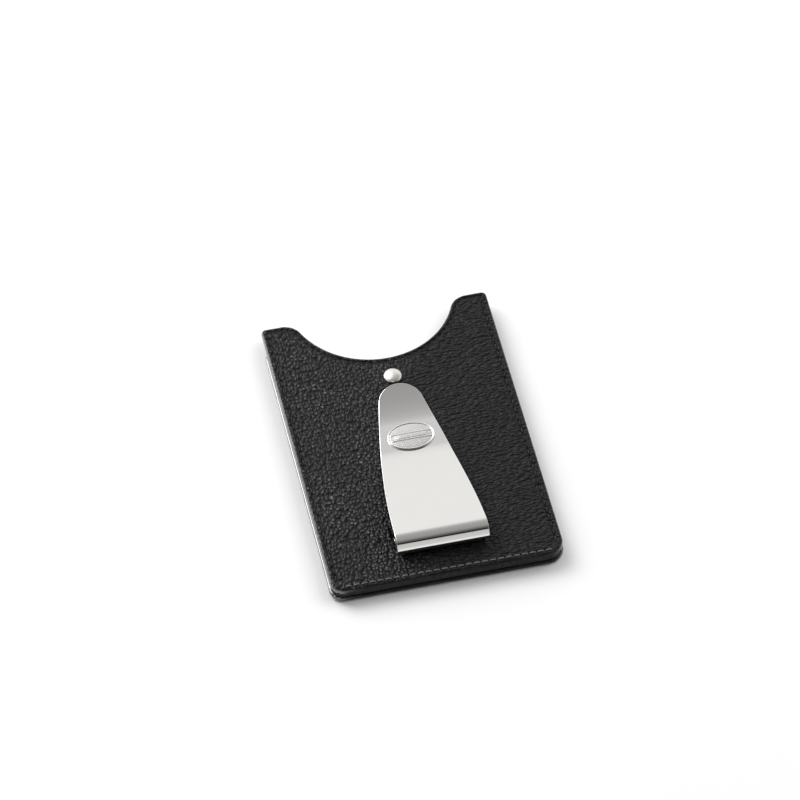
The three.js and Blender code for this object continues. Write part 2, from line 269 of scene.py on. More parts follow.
def outward(ring):
    """Unit directions out of a counter-clockwise loop of flat points."""
    run = np.roll(ring, -1, axis=0) - np.roll(ring, 1, axis=0)
    run /= np.linalg.norm(run, axis=1)[:, None]
    return np.column_stack((run[:, 1], -run[:, 0]))


def inside(points, ring):
    """Which flat points lie inside a closed loop."""
    after = np.roll(ring, -1, axis=0)
    crossings = np.zeros(len(points), int)
    for (x0, y0), (x1, y1) in zip(ring, after):
        if y0 != y1:
            spans = (points[:, 1] > min(y0, y1)) & (points[:, 1] <= max(y0, y1))
            x = x0 + (points[:, 1] - y0) * (x1 - x0) / (y1 - y0)
            crossings += spans & (points[:, 0] < x)
    return crossings % 2 == 1


def fill_loop(ring, step=0):
    """Extra points inside a loop, evenly spread, and triangles of the loop's points and those."""
    spread = spread_points(ring, step) if step else np.empty((0, 2))
    points = [Vector(p) for p in np.vstack((ring, spread))]
    edges = [(i, (i + 1) % len(ring)) for i in range(len(ring))]
    _, _, faces, sources, _, _ = geometry.delaunay_2d_cdt(points, edges, [], 1, 1e-7)
    triangles = [[sources[i][0] for i in face] for face in faces]
    return spread, triangles


def spread_points(ring, step):
    """Points on a triangular grid that lie inside a loop and clear of it."""
    low, high = ring.min(0), ring.max(0)
    rows = []
    for i, y in enumerate(np.arange(low[1] + step / 2, high[1], step * math.sqrt(0.75))):
        x = np.arange(low[0] + step * (0.25 + 0.5 * (i % 2)), high[0], step)
        rows.append(np.column_stack((x, np.full(len(x), y))))
    spread = np.vstack(rows)
    spread = spread[inside(spread, ring)]
    tree = kdtree.KDTree(len(ring))
    for i, (x, y) in enumerate(ring):
        tree.insert((x, y, 0), i)
    tree.balance()
    return spread[[tree.find((x, y, 0))[2] > step * 0.6 for x, y in spread]]


# ---- stitching ----------------------------------------------------------------------------------
def along(path, distance):
    """Points and directions at distances along a line of flat points."""
    far = travelled(path)
    at, ahead, behind = (
        np.column_stack([np.interp(distance + shift, far, path[:, k]) for k in (0, 1)])
        for shift in (0, 0.2, -0.2)
    )
    run = ahead - behind
    return at, run / np.linalg.norm(run, axis=1)[:, None]


def length_of(path):
    return np.linalg.norm(np.diff(path, axis=0), axis=1).sum()


def stitch_rows(panel_name, top):
    """The four rows of a panel: name, middles and directions of the stitches, half length, depth."""
    side = HALF_WIDTH - SIDE_ROW_INSET
    low = BOTTOM + BOTTOM_ROW_INSET
    reach = HALF_WIDTH - ROW_SPARE
    shoulder = top - NOTCH_ROW_INSET
    end = HALF_WIDTH - NOTCH_ROW_INSET
    notch = [arc_points(arc, 60) for arc in notch_arcs(top, NOTCH_ROW_INSET)]
    upright = np.array([(0, BOTTOM + ROW_SPARE), (0, top - ROW_SPARE)])
    bottom_depth = SHALLOW_THREAD if panel_name == "front" else DEEP_THREAD
    lines = [
        ("left", upright - (side, 0), SIDE_PITCH, DEEP_THREAD),
        ("right", upright + (side, 0), SIDE_PITCH, DEEP_THREAD),
        ("bottom", np.array([(-reach, low), (reach, low)]), FINE_PITCH, bottom_depth),
        ("notch", np.vstack([[(end, shoulder)], *notch, [(-end, shoulder)]]), FINE_PITCH, DEEP_THREAD),
    ]
    rows = []
    for name, path, pitch, depth in lines:
        length = length_of(path)
        count = round(length / pitch)
        middles = (np.arange(count) + 0.5) * length / count
        at, run = along(path, middles)
        half = STITCH_SHARE * length / count
        rows.append((f"{panel_name}_{name}_stitches", at, run, half, depth))
    return rows


def stitch_relief(points, rows):
    """How far the leather is pulled down round the stitches, and how much painted shade each point gets
    from lying in a deep stitch slot or a hole.
    """
    relief = np.zeros(len(points))
    slot = np.zeros(len(points))
    for _, at, run, half, depth in rows:
        for middle, direction in zip(at, run):
            near = np.abs(points - middle).max(1) < half + 1.2
            local = points[near] - middle
            u = local @ direction
            v = local @ (-direction[1], direction[0])
            within = smoothstep((half + 0.35 - np.abs(u)) / 0.4)
            trench = (depth + 0.02) * bell(v, 0.34) * within
            holes = 0.45 * bell(np.abs(u) - half - 0.05, 0.26) * bell(v, 0.28)
            pucker = 0.05 * bell(v, 0.9) * bell(u, half)
            relief[near] = np.minimum(relief[near], -np.maximum(trench, holes) - pucker)
            # Painted shade: the deep slots and the holes are marked here for darkening in the leather's
            # colour.
            shade = bell(v, 0.36) * within * smoothstep(depth / DEEP_THREAD * 2 - 1)
            slot[near] = np.maximum(slot[near], np.maximum(shade, holes / 0.45))
    return relief, slot


def add_stitches(row, face, up, material):
    """A row of short twisted threads, each end dipping into its hole."""
    name, at, run, half, depth = row
    sides, steps, twist = 12, 14, 2.6
    u = np.linspace(-1, 1, steps)
    turn = np.arange(sides) * 2 * math.pi / sides
    reach = half + 0.2
    dip = depth + 0.55 * np.abs(u) ** 5
    plies = 1 + 0.13 * np.cos(3 * turn[None, :] - twist * (u[:, None] * reach) / THREAD_R)
    taper = 1 - 0.25 * np.abs(u) ** 6
    radius = THREAD_R * plies * taper[:, None]
    local = np.stack((
        np.broadcast_to((u * reach)[:, None], radius.shape),
        radius * np.cos(turn),
        radius * np.sin(turn) - dip[:, None],
    ), axis=-1).reshape(-1, 3)
    points, faces = [], []
    for i, (middle, direction) in enumerate(zip(at, run)):
        lean = 0.06 * math.sin(7.3 * i)
        across = np.array((-direction[1], direction[0]))
        straight = direction + lean * across
        flat = middle + np.outer(local[:, 0], straight) + np.outer(local[:, 1], across)
        start = len(points) * sides * steps
        points.append(np.column_stack((flat, face + up * local[:, 2])))
        faces += grid_faces(steps, sides, start, round_columns=True)
        faces.append(range(start + sides - 1, start - 1, -1))
        faces.append(range(start + sides * (steps - 1), start + sides * steps))
    piece = make_piece(name.replace("stitches", "thread"), np.vstack(points), faces, material,
                       "case", "thread", name)
    weld(piece, 1e-4)
    return piece


# ---- covers -------------------------------------------------------------------------------------
def leg_cover(points):
    """0 to 1 where the clip's buried leg lifts the leather from below."""
    x, y = np.abs(points[:, 0]), points[:, 1]
    share = np.clip((y - LEG_DIVE_FROM) / (RIVET_Y - LEG_DIVE_FROM), 0, 1)
    inside_sides = LEG_HALF + (LEG_END_R - LEG_HALF) * share - x
    inside_end = LEG_END_R - np.hypot(x, y - RIVET_Y)
    depth = np.where(y > RIVET_Y, inside_end, inside_sides)
    return smoothstep((depth + 0.7) / 1.4) * smoothstep((y - LEG_DIVE_FROM - 2) / 2)


def corner_crumple(points):
    """0 to 1 about the worn corner at the lower left."""
    corner = np.array((-HALF_WIDTH + 1.5, BOTTOM + 1.5))
    return bell(np.linalg.norm(points - corner, axis=1), 3.4)


def face_relief(points, rows, front):
    """Height of the leather's face above its flat level at each flat point, and the painted shade of the
    stitch slots.
    """
    level = flat_points(points, 0 if front else 50)
    pulled, slot = stitch_relief(points, rows)
    relief = pulled + 0.035 * noise_at(level, 14)
    relief += corner_crumple(points) * 0.3 * noise_at(level, 0.9, 3.1)
    if front:
        relief += 0.11 * leg_cover(points)
        slot_y = LEG_DIVE_FROM + LEG_DIVE / 2 + 0.3
        within = smoothstep((LEG_HALF + 0.8 - np.abs(points[:, 0])) / 0.8)
        relief -= 1.5 * within * bell(points[:, 1] - slot_y, 1.5)
        relief -= 0.12 * bell(np.hypot(points[:, 0], points[:, 1] - RIVET_Y) - 2.9, 0.6)
    else:
        relief = np.minimum(relief - 0.03, 0)
    return relief, slot


def add_cover(name, node, top, face, inner, round_r, proud, material):
    """A leather skin: rounded over the panel's edge and turned in towards the pocket."""
    up = 1 if face > inner else -1
    thick = abs(face - inner)
    rows = stitch_rows(name.split("_")[0], top)
    profile = [(RIM, SKIN), (RIM, thick - 0.05), (RIM - 0.06, thick)]
    for a in np.linspace(0, math.pi / 2, 6):
        profile.append((INNER_ROUND * (1 - math.sin(a)), thick - INNER_ROUND * (1 - math.cos(a))))
    for a in np.linspace(0, math.pi / 2, 10):
        profile.append((round_r * (1 - math.cos(a)), round_r * (1 - math.sin(a))))
    ring_insets = np.arange(round_r + FACE_RING_STEP, FACE_RINGS_TO, FACE_RING_STEP)
    profile += [(inset, 0) for inset in ring_insets]
    rings = [panel_ring(top, inset) for inset, _ in profile]
    count = len(rings[0])
    normals = outward(panel_ring(top, 0))
    sideways = np.abs(normals[:, 0]) ** 2
    edge, gloss, crinkle, slot_shade = [], [], [], []
    points = []
    for (inset, depth), ring in zip(profile, rings):
        on_face = 1 - smoothstep(depth / round_r)
        wall = 1 - on_face
        wave = 0.04 * noise_at(flat_points(ring, depth * 3), 3.0, 1.7)
        crumple = corner_crumple(ring)
        wear_and_glint = crumple * 0.45 * noise_at(flat_points(ring, depth * 2), 0.8, 5.3)
        waver = wave * (1 - sideways) - 0.04
        out = (waver + np.minimum(wear_and_glint, 0.05) + proud) * (1 if inset < RIM - 0.1 else 0)
        flat = ring + normals * (out * wall)[:, None]
        relief, slot = face_relief(ring, rows, up > 0)
        relief = relief * on_face * (0 if inset >= RIM - 0.1 and depth > 0.5 * SKIN else 1)
        points.append(np.column_stack((flat, face + up * (relief - depth))))
        edge.append(np.full(count, wall))
        gloss.append(np.maximum(smoothstep(depth / round_r * 1.6) * sideways, crumple * wall))
        crinkle.append(np.full(count, bell(inset - 0.6, 1.0)))
        slot_shade.append(slot * on_face)
    faces = grid_faces(len(rings), count, round_columns=True)
    last = (len(rings) - 1) * count
    spread, triangles = fill_loop(rings[-1], FILL_STEP)
    start = len(rings) * count
    relief, slot = face_relief(spread, rows, up > 0)
    points.append(np.column_stack((spread, face + up * relief)))
    faces += [[last + i if i < count else start + i - count for i in t] for t in triangles]
    _, triangles = fill_loop(rings[0])
    faces += [t[::-1] for t in triangles]
    slot_shade.append(slot)
    if up < 0:
        faces = [f[::-1] for f in faces]
    cover = make_piece(name, np.vstack(points), faces, material, "case", "case_leather", node)
    for attribute, values in (("edge", edge), ("gloss", gloss), ("crinkle", crinkle), ("slot_shade", slot_shade)):
        flat = np.concatenate(values)
        set_attribute(cover, attribute, np.pad(flat, (0, len(cover.data.vertices) - len(flat))))
    return rows


# ---- materials ----------------------------------------------------------------------------------
class Nodes:
    """A short way to write a material's node tree."""

    def __init__(self, name):
        self.material = bpy.data.materials.new(name)
        self.material.use_nodes = True
        self.tree = self.material.node_tree
        self.shader = self.tree.nodes["Principled BSDF"]

    def add(self, kind, links=None, **settings):
        node = self.tree.nodes.new("ShaderNode" + kind)
        for key, value in settings.items():
            setattr(node, key, value)
        for socket, value in (links or {}).items():
            self.feed(node.inputs[socket], value)
        return node

    def feed(self, socket, value):
        if isinstance(value, bpy.types.NodeSocket):
            self.tree.links.new(value, socket)
        else:
            socket.default_value = value

    def place(self, scale=(1, 1, 1)):
        """Object coordinates in millimetres, stretched."""
        at = self.add("TexCoord").outputs["Object"]
        return self.add("Mapping", {"Vector": at, "Scale": tuple(s / MM for s in scale)}).outputs[0]

    def maths(self, operation, a, b=0.0, c=0.0):
        node = self.add("Math", {0: a, 1: b, 2: c}, operation=operation)
        return node.outputs[0]

    def ramp(self, value, low, high, to_low, to_high):
        links = {"Value": value, "From Min": low, "From Max": high}
        links.update({"To Min": to_low, "To Max": to_high})
        node = self.add("MapRange", links, interpolation_type="SMOOTHSTEP")
        return node.outputs["Result"]

    def noise(self, place, scale, detail=2.0):
        node = self.add("TexNoise", {"Vector": place, "Scale": scale, "Detail": detail})
        return node.outputs[0]

    def attribute(self, name):
        return self.add("Attribute", attribute_name=name).outputs["Fac"]

    def mix(self, share, a, b):
        node = self.add("Mix", {"Factor": share, "A": a, "B": b})
        return node.outputs["Result"]

    def mix_colour(self, share, a, b):
        node = self.add("Mix", data_type="RGBA")
        for index, value in ((0, share), (6, a), (7, b)):
            self.feed(node.inputs[index], value)
        return node.outputs[2]

    def bump(self, height, depth_mm, under=None):
        links = {"Height": height, "Distance": depth_mm * MM, "Strength": 1.0}
        if under is not None:
            links["Normal"] = under
        return self.add("Bump", links).outputs[0]

    def set(self, **values):
        for name, value in values.items():
            self.feed(self.shader.inputs[name.replace("_", " ")], value)
        return self.material


def leather_material():
    """Black pebbled leather, semi-gloss, with painted and burnished edges."""
    m = Nodes("case_leather")
    place = m.place()
    warp = m.add("TexNoise", {"Vector": place, "Scale": 0.45, "Detail": 2.0}).outputs["Color"]
    centred = m.add("VectorMath", {0: warp, 1: (0.5, 0.5, 0.5)}, operation="SUBTRACT").outputs[0]
    scaled = m.add("VectorMath", {0: centred, "Scale": 1.3}, operation="SCALE").outputs[0]
    bent = m.add("VectorMath", {0: place, 1: scaled}, operation="ADD").outputs[0]

    def pebbles(stretch):
        grain = m.add("Mapping", {"Vector": bent, "Scale": stretch}).outputs[0]
        cells = m.add("TexVoronoi", {"Vector": grain, "Scale": 1.0, "Randomness": 0.85}).outputs
        own = m.add("SeparateColor", {"Color": cells["Color"]}).outputs[0]
        fall = m.maths("MULTIPLY", m.maths("POWER", cells["Distance"], 2.0), 2.4)
        return m.maths("SUBTRACT", 1.0, fall), own

    upright, own = pebbles((1.05, 0.72, 1.0))
    level, _ = pebbles((0.6, 1.2, 1.0))
    across = m.add("SeparateXYZ", {"Vector": place}).outputs["X"]
    patch = m.noise(place, 0.07, 1.0)
    right = m.ramp(m.maths("MULTIPLY_ADD", patch, 30.0, across), 9.0, 27.0, 0.0, 1.0)
    pebble = m.mix(right, upright, level)
    fine = m.noise(place, 4.0, 3.0)
    broad = m.noise(place, 0.09, 2.0)
    edge = m.attribute("edge")
    gloss = m.attribute("gloss")
    crinkle = m.attribute("crinkle")
    slot_shade = m.attribute("slot_shade")
    creases = m.noise(place, 1.5, 3.0)
    height = m.maths("MULTIPLY", pebble, m.maths("MULTIPLY_ADD", own, 0.5, 0.75))
    height = m.maths("MULTIPLY_ADD", fine, 0.08, height)
    height = m.maths("MULTIPLY", height, m.mix(edge, 1.0, 0.15))
    height = m.maths("ADD", height, m.maths("MULTIPLY", creases, m.maths("MULTIPLY", crinkle, 0.5)))
    layers = m.noise(m.place((0.12, 0.12, 2.6)), 1.0, 3.0)
    height = m.maths("ADD", height, m.maths("MULTIPLY", layers, m.maths("MULTIPLY", edge, 2.0)))
    height = m.maths("MULTIPLY", height, m.maths("SUBTRACT", 1.0, gloss))
    valley = m.ramp(pebble, 0.2, 0.75, 1.0, 0.0)
    # Painted shade: the leather's colour is darker in the grain's valleys.
    skin = m.mix_colour(valley, (0.0062, 0.0062, 0.0072, 1), (0.0015, 0.0015, 0.002, 1))
    skin = m.mix_colour(m.maths("MULTIPLY", own, 0.4), skin, (0.011, 0.011, 0.013, 1))
    # Painted highlight: the pebble tops are lightened to stand for glints, in patches and strongest on
    # the left where the light falls, a tenth as strong on the right.
    wear_and_glint = m.maths("MULTIPLY", m.ramp(pebble, 0.76, 0.96, 0.0, 1.0), m.ramp(own, 0.4, 0.95, 0.0, 1.0))
    wear_and_glint = m.maths("MULTIPLY", wear_and_glint, m.mix(right, m.ramp(broad, 0.35, 0.6, 1.0, 0.35), 0.1))
    skin = m.mix_colour(wear_and_glint, skin, (0.16, 0.16, 0.165, 1))
    skin = m.mix_colour(m.maths("MULTIPLY", edge, 0.7), skin, (0.009, 0.0085, 0.008, 1))
    # Painted shade: the stitch slots and holes are darkened to near black.
    skin = m.mix_colour(slot_shade, skin, (0.001, 0.001, 0.001, 1))
    rough = m.ramp(broad, 0.3, 0.7, 0.24, 0.32)
    rough = m.maths("MULTIPLY_ADD", valley, 0.2, rough)
    rough = m.maths("MULTIPLY_ADD", right, 0.1, rough)
    rough = m.mix(gloss, rough, 0.15)
    rough = m.mix(slot_shade, rough, 0.9)
    return m.set(Base_Color=skin, Roughness=rough, Specular_IOR_Level=0.24,
                 Coat_Weight=gloss, Coat_Roughness=0.1, Coat_IOR=2.2, Normal=m.bump(height, 0.27))


def edge_material():
    """Smooth black leather strip between the panels, with fine lengthwise creases."""
    m = Nodes("edge_leather")
    layers = m.noise(m.place((0.15, 0.15, 2.2)), 1.0, 3.0)
    fine = m.noise(m.place(), 2.5, 3.0)
    height = m.maths("MULTIPLY_ADD", fine, 0.4, layers)
    colour = m.mix_colour(layers, (0.008, 0.008, 0.009, 1), (0.02, 0.02, 0.022, 1))
    return m.set(Base_Color=colour, Roughness=m.ramp(fine, 0.3, 0.7, 0.42, 0.6),
                 Normal=m.bump(height, 0.12))


def thread_material(name, dark, light):
    """Waxed black thread."""
    m = Nodes(name)
    fibre = m.noise(m.place((1.0, 1.0, 1.0)), 9.0, 2.0)
    colour = m.mix_colour(fibre, (dark, dark, dark * 1.1, 1), (light, light, light * 1.1, 1))
    return m.set(Base_Color=colour, Roughness=m.ramp(fibre, 0.3, 0.7, 0.38, 0.6),
                 Normal=m.bump(fibre, 0.03))


def steel_material(name, colour, smooth, rough):
    """Polished metal with faint polishing lines and smudges."""
    m = Nodes(name)
    lines = m.noise(m.place((5.0, 0.35, 0.35)), 1.0, 2.0)
    smudge = m.noise(m.place(), 0.16, 3.0)
    shine = m.ramp(smudge, 0.35, 0.7, smooth, rough)
    shine = m.maths("MULTIPLY_ADD", lines, 0.02, shine)
    tint = m.mix_colour(smudge, (*colour, 1), (*[c * 0.97 for c in colour], 1))
    return m.set(Base_Color=tint, Metallic=1.0, Roughness=shine, Normal=m.bump(lines, 0.0006))


def badge_material():
    """Satin field inside a slightly rougher rim."""
    m = Nodes("badge_steel")
    field = m.attribute("field")
    grain = m.noise(m.place((0.5, 6.0, 1.0)), 1.0, 2.0)
    speck = m.noise(m.place(), 5.0, 2.0)
    rough = m.mix(field, 0.32, m.ramp(speck, 0.3, 0.7, 0.24, 0.3))
    tint = m.mix_colour(field, (0.8, 0.79, 0.77, 1), (0.72, 0.71, 0.7, 1))
    height = m.maths("MULTIPLY", m.maths("MULTIPLY_ADD", speck, 0.6, grain), field)
    return m.set(Base_Color=tint, Metallic=1.0, Roughness=rough, Normal=m.bump(height, 0.006))


def lining_material():
    """Fine black twill."""
    m = Nodes("lining")
    place = m.place()
    weave = m.add("TexWave", {"Vector": place, "Scale": 1.1, "Distortion": 0.6, "Detail": 1.0},
                  bands_direction="DIAGONAL")
    cross = m.add("TexWave", {"Vector": place, "Scale": 2.0, "Distortion": 0.4},
                  bands_direction="X")
    height = m.maths("MULTIPLY_ADD", cross.outputs["Fac"], 0.5, weave.outputs["Fac"])
    colour = m.mix_colour(weave.outputs["Fac"], (0.008, 0.008, 0.009, 1), (0.024, 0.024, 0.027, 1))
    return m.set(Base_Color=colour, Roughness=m.ramp(height, 0.0, 1.5, 0.7, 0.9),
                 Sheen_Weight=0.25, Normal=m.bump(height, 0.08))


def board_material():
    """Grey-brown fibre board."""
    m = Nodes("board")
    fibre = m.noise(m.place((1.0, 0.3, 1.0)), 3.0, 4.0)
    colour = m.mix_colour(fibre, (0.14, 0.12, 0.09, 1), (0.25, 0.22, 0.18, 1))
    return m.set(Base_Color=colour, Roughness=m.ramp(fibre, 0.2, 0.8, 0.8, 0.95),
                 Normal=m.bump(fibre, 0.05))


LEATHER = leather_material()
EDGE = edge_material()
THREAD = thread_material("thread", 0.002, 0.008)
# Painted highlight: a lighter copy of the black thread, standing for the light caught by the bottom rows.
LIT_THREAD = thread_material("lit_thread", 0.05, 0.2)
STEEL = steel_material("clip_steel", (0.86, 0.85, 0.83), 0.07, 0.11)
NICKEL = steel_material("rivet_nickel", (0.84, 0.83, 0.77), 0.28, 0.34)
BADGE = badge_material()
LINING = lining_material()
BOARD = board_material()


# ---- the case -----------------------------------------------------------------------------------
def add_case():
    panels = [
        ("front_cover", "front_leather", FRONT_TOP, FACE, POCKET_ROOF, FRONT_ROUND, 0),
        ("back_cover", "back_leather", BACK_TOP, 0.0, POCKET_FLOOR, BACK_ROUND, BACK_PROUD),
    ]
    for name, node, top, face, inner, round_r, proud in panels:
        rows = add_cover(name, node, top, face, inner, round_r, proud, LEATHER)
        for row in rows:
            # Painted highlight: the bottom rows take the lighter copy of the thread.
            thread = LIT_THREAD if "bottom" in row[0] else THREAD
            add_stitches(row, face, 1 if face > inner else -1, thread)


def ring_slice(top, inset, keep):
    """The stretch of a panel's loop whose outer points pass a test, in order."""
    outer = panel_ring(top, STRIP_INSET)
    ring = panel_ring(top, inset)
    kept = keep(outer)
    first = next(i for i in range(len(kept)) if kept[i] and not kept[i - 1])
    count = int(kept.sum())
    return ring[(first + np.arange(count)) % len(ring)]


STRIP_INSET = 0.3
STRIP_WIDTH = 4


def add_strip(name, keep):
    """A folded leather strip between the panels, its outer edge showing two layers."""
    low, high = POCKET_FLOOR + 0.01, POCKET_ROOF - 0.01
    middle, half = (low + high) / 2, (high - low) / 2
    section = [(STRIP_WIDTH, high), (1.0, high)]
    for centre in (middle + half / 2, middle - half / 2):
        for angle in np.linspace(75, -75, 7):
            a = math.radians(angle)
            section.append((half / 2 * (1 - math.cos(a)) * 1.2, centre + half / 2 * math.sin(a)))
    section += [(1.0, low), (STRIP_WIDTH, low)]
    loops = []
    for inset, z in section:
        flat = ring_slice(BACK_TOP, STRIP_INSET + inset, keep)
        loops.append(flat_points(flat, z))
    steps = len(loops[0])
    faces = grid_faces(len(loops), steps, round_rows=True)
    faces.append([i * steps for i in range(len(loops))])
    faces.append([i * steps + steps - 1 for i in range(len(loops) - 1, -1, -1)])
    strip = make_piece(name, np.vstack(loops), faces, EDGE, "case", "edge_leather",
                       name.replace("gusset", "edge_strip"))
    weld(strip, 1e-4)
    return strip


def add_gussets():
    side = HALF_WIDTH - STRIP_INSET - 1
    add_strip("left_gusset", lambda p: (p[:, 0] < -side) & (p[:, 1] < BACK_TOP - HORN_R))
    add_strip("right_gusset", lambda p: (p[:, 0] > side) & (p[:, 1] < BACK_TOP - HORN_R))
    add_strip("bottom_gusset", lambda p: (np.abs(p[:, 0]) <= side) & (p[:, 1] < BOTTOM + 6))


def add_lining(name, node, top, low, high):
    """Cloth glued to the inside of a panel."""
    inset = RIM + 0.3
    loops = [(inset, low), (inset, high)]
    rings = [flat_points(panel_ring(top, i), z) for i, z in loops]
    count = len(rings[0])
    spread, triangles = fill_loop(rings[0][:, :2], 3)
    points = rings + [flat_points(spread, low), flat_points(spread, high)]
    faces = grid_faces(2, count, round_columns=True)
    starts = [2 * count, 2 * count + len(spread)]
    for side in (0, 1):
        for t in triangles:
            face = [side * count + i if i < count else starts[side] + i - count for i in t]
            faces.append(face if side else face[::-1])
    lining = make_piece(name, np.vstack(points), faces, LINING, "case", "lining", node)
    weld(lining, 1e-4)
    lining.data.calc_loop_triangles()


# ---- the clip -----------------------------------------------------------------------------------
def bezier(points, steps):
    t = np.linspace(0, 1, steps + 1)[:, None]
    a, b, c, d = (np.asarray(p, float) for p in points)
    return (1 - t) ** 3 * a + 3 * (1 - t) ** 2 * t * b + 3 * (1 - t) * t**2 * c + t**3 * d


def facing(degrees):
    """A direction in side view, (y, z), at an angle up from straight forward."""
    a = math.radians(degrees)
    return np.array((-math.cos(a), math.sin(a)))


def bend_line():
    """The bend's middle from its lowest point, up the front and over the crown, (y, z)."""
    leave = 90 + math.degrees(TONGUE_SLOPE)
    crown = np.array((BEND_Y, BEND_Z + BEND_R - CROWN_R))
    nose = crown + (CROWN_R - NOSE_R) * facing(NOSE_FROM)
    front = nose + (NOSE_R - FRONT_R) * facing(FRONT_FROM)
    fold_top = front + FRONT_R * facing(FOLD_FROM)
    fold_r = (fold_top[1] - tongue_low.z) / (1 + math.sin(math.radians(FOLD_FROM)))
    fold = fold_top - fold_r * facing(FOLD_FROM)
    parts = [
        (fold, fold_r, -90, FOLD_FROM, 40),
        (front, FRONT_R, FOLD_FROM, FRONT_FROM, 8),
        (nose, NOSE_R, FRONT_FROM, NOSE_FROM, 30),
        (crown, CROWN_R, NOSE_FROM, leave, 24),
    ]
    points = [np.array([(BEND_Y + LEG_START, tongue_low.z + SHEET / 2)])]
    for centre, radius, low_angle, high_angle, steps in parts:
        angles = np.linspace(low_angle, high_angle, steps, endpoint=high_angle == leave)
        points.append([centre + (radius - SHEET / 2) * facing(a) for a in angles])
    return np.vstack(points)


def tongue_line():
    """Side view of the tongue's middle, (y, z): round the bend, down the slope, level, and up."""
    bend = bend_line()
    leave = bend[-1]
    down = np.array((math.cos(TONGUE_SLOPE), -math.sin(TONGUE_SLOPE)))
    run = GRIP_FROM - leave[0]
    level = (GRIP_FROM, GRIP_Z)
    slope = bezier((leave, leave + down * run * SLOPE_HANDLES[0],
                    (GRIP_FROM - run * SLOPE_HANDLES[1], GRIP_Z), level), 60)
    rise = FLARE_END - GRIP_TO
    tip = np.array((FLARE_END, GRIP_Z + TIP_RISE))
    back = np.array((math.cos(TIP_SLOPE), math.sin(TIP_SLOPE)))
    flare = bezier(((GRIP_TO, GRIP_Z), (GRIP_TO + rise * FLARE_HANDLE, GRIP_Z),
                    tip - back * rise * FLARE_HANDLE, tip), 40)
    flat = np.linspace(level, (GRIP_TO, GRIP_Z), 12)
    return np.vstack((bend[:-1], slope[:-1], flat[:-1], flare))


def tongue_half(y):
    share = np.maximum(y - TAPER_START, 0) / TAPER_REACH
    return TONGUE_HALF - TAPER_LOSS * share**TAPER_POWER


def foot_corner(z):
    """How much narrower the bend gets low on its front, round small corners."""
    past = np.clip(tongue_low.z + FOOT_CORNER_TOP - z, 0, TONGUE_CORNER_R)
    return TONGUE_CORNER_R - np.sqrt(TONGUE_CORNER_R**2 - past**2)


def add_sheet_strip(name, line, rows, body, node):
    """A strip of sheet metal with softened edges. The line is its middle from the side; rows are
    (distance along it, half width), ending at the tip."""
    at = travelled(line)
    run = np.gradient(line, at, axis=0)
    run /= np.linalg.norm(run, axis=1)[:, None]
    outline = np.array([(half, s) for s, half in rows])
    step = np.gradient(outline, axis=0)
    step[-1] = (-1, 0)
    step[0] = (0, 1)
    step /= np.linalg.norm(step, axis=1)[:, None]
    out = np.column_stack((step[:, 1], -step[:, 0]))
    quarter = np.linspace(0, math.pi / 2, 5)
    bevel = [
        (SHEET_ROUND * (1 - math.sin(a)), SHEET / 2 - SHEET_ROUND * (1 - math.cos(a)))
        for a in quarter
    ]
    bevel += [(inset, -height) for inset, height in bevel[::-1]]
    columns = np.array([-1, -0.985, -0.8, -0.5, -0.2, 0.2, 0.5, 0.8, 0.985, 1])
    loops = []
    for (half, s), normal in zip(outline, out):
        inner = np.array((half, s)) - SHEET_ROUND * normal
        section = [(v * inner[0], inner[1], SHEET / 2) for v in columns[:-1]]
        for side in (1, -1):
            band = bevel if side > 0 else bevel[::-1]
            for inset, height in band:
                x, t = np.array((half, s)) - inset * normal
                section.append((side * x, t, height))
            if side > 0:
                section += [(v * inner[0], inner[1], -SHEET / 2) for v in columns[-2:0:-1]]
        section.pop()
        loops.append(section)
    flat = np.array(loops)
    count = flat.shape[1]
    flat = flat.reshape(-1, 3)
    middle = np.column_stack([np.interp(flat[:, 1], at, line[:, k]) for k in (0, 1)])
    tangent = np.column_stack([np.interp(flat[:, 1], at, run[:, k]) for k in (0, 1)])
    tangent /= np.linalg.norm(tangent, axis=1)[:, None]
    up = np.column_stack((-tangent[:, 1], tangent[:, 0]))
    side_view = middle + up * flat[:, 2:]
    points = np.column_stack((flat[:, 0], side_view))
    faces = grid_faces(len(loops), count, round_columns=True)
    faces.append(range(count - 1, -1, -1))
    strip = make_piece(name, points, faces, STEEL, body, "clip_steel", node)
    weld(strip, 0.004)
    return strip


def round_end(line, centre_y, radius, lean, steps):
    """Rows for a round end, from where the straight side meets it to the tip."""
    at = travelled(line)
    forward = np.argmin(line[:, 0])
    angles = np.linspace(lean, math.pi / 2, steps + 1)
    y = centre_y + radius * np.sin(angles)
    s = np.interp(y, line[forward:, 0], at[forward:])
    x = radius * np.cos(angles)
    x[-1] = 0
    return list(zip(s, x))


def add_tongue():
    line = tongue_line()
    at = travelled(line)
    reach = TAPER_END - TAPER_START
    slope = TAPER_LOSS * TAPER_POWER * (reach / TAPER_REACH) ** (TAPER_POWER - 1) / TAPER_REACH
    lean = math.atan(slope)
    tip_r = float(tongue_half(TAPER_END)) / math.cos(lean)
    tip_y = TAPER_END - tip_r * math.sin(lean)
    before = line[:, 0] < TAPER_END - 0.3
    rows = []
    for s, (y, z) in zip(at[before], line[before]):
        corner = foot_corner(z) if s < BEND_R * 3 else 0
        rows.append((s, float(tongue_half(y) - corner)))
    rows += round_end(line, tip_y, tip_r, lean, 40)
    strip = add_sheet_strip("spring_tongue", line, rows, None, "clip_tongue")
    reach = Vector((0, BEND_R, BEND_R)) * MM
    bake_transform(strip)


